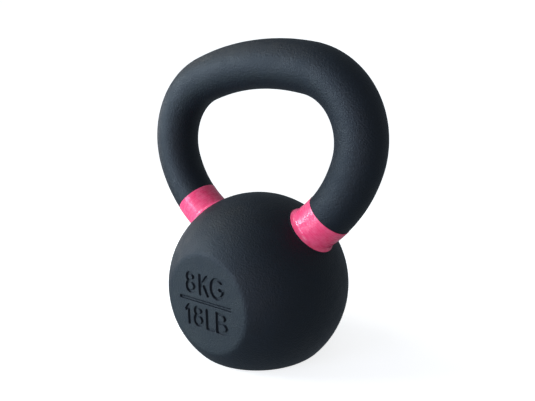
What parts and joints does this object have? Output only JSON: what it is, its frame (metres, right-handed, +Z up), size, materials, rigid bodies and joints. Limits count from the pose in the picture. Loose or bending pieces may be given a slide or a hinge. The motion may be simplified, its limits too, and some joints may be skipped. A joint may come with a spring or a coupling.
{
  "type": "kettlebell",
  "caption": "Cast-iron kettlebell: a ball with flat base and faces, a loop handle on two horns and a colour band round each horn's root.",
  "frame": {"origin": "middle of the flat base, on the surface that the kettlebell stands on", "axes": "+Z up, +X along the handle towards the right horn as the marked face is read, -Y out of the marked face"},
  "size_m": [0.1796, 0.1056, 0.2019],
  "materials": {
    "powder_coat": "matte black powder coat with a fine grain over cast iron",
    "band_enamel": "glossy pink enamel film, brushed and slightly uneven"
  },
  "bodies": {
    "root": {"ball": "powder_coat", "handle": "powder_coat", "right_band": "band_enamel", "left_band": "band_enamel"}
  },
  "joints": []
}
